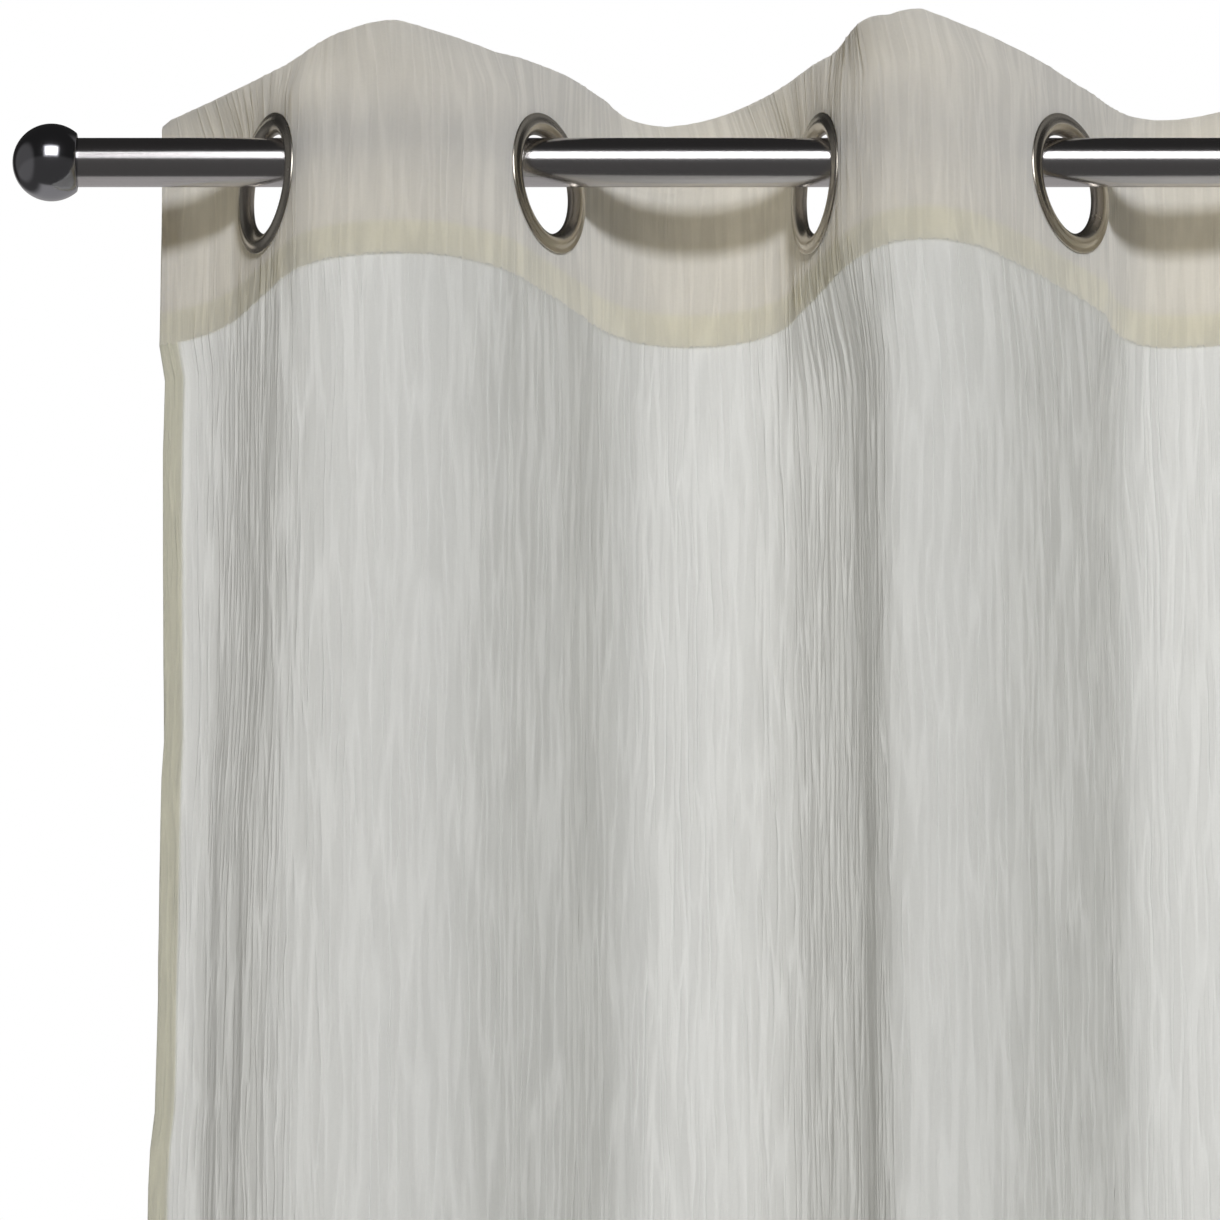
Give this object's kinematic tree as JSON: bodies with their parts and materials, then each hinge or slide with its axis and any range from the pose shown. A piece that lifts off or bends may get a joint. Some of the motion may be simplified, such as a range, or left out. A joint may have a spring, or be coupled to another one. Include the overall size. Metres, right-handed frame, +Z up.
{
  "type": "sheer voile curtain on a curtain rod",
  "caption": "Floor-length crinkled sheer curtain in deep uneven folds, hung by metal eyelets from a round steel rod with a dark ball finial on each end.",
  "frame": {"origin": "on the rod's axis at the middle of its length", "axes": "+Z up, +X along the rod to the right as seen from the room, -Y out of the curtain's face"},
  "size_m": [0.9646, 0.1327, 2.4048],
  "materials": {
    "voile": "sheer off-white voile with a fine upright crinkle",
    "heading": "doubled voile, denser and creamier than the single cloth",
    "eyelet_nickel": "satin nickel",
    "rod_steel": "satin, brushed along the rod",
    "finial_dark": "polished, near black"
  },
  "bodies": {
    "root": {"rod": "rod_steel", "finial_left": "finial_dark", "finial_right": "finial_dark", "curtain_panel": "voile", "heading_band": "heading", "eyelet_front_1": "eyelet_nickel", "eyelet_back_1": "eyelet_nickel", "eyelet_front_2": "eyelet_nickel", "eyelet_back_2": "eyelet_nickel", "eyelet_front_3": "eyelet_nickel", "eyelet_back_3": "eyelet_nickel", "eyelet_front_4": "eyelet_nickel", "eyelet_back_4": "eyelet_nickel", "eyelet_front_5": "eyelet_nickel", "eyelet_back_5": "eyelet_nickel", "eyelet_front_6": "eyelet_nickel", "eyelet_back_6": "eyelet_nickel", "eyelet_front_7": "eyelet_nickel", "eyelet_back_7": "eyelet_nickel", "eyelet_front_8": "eyelet_nickel", "eyelet_back_8": "eyelet_nickel"}
  },
  "joints": []
}
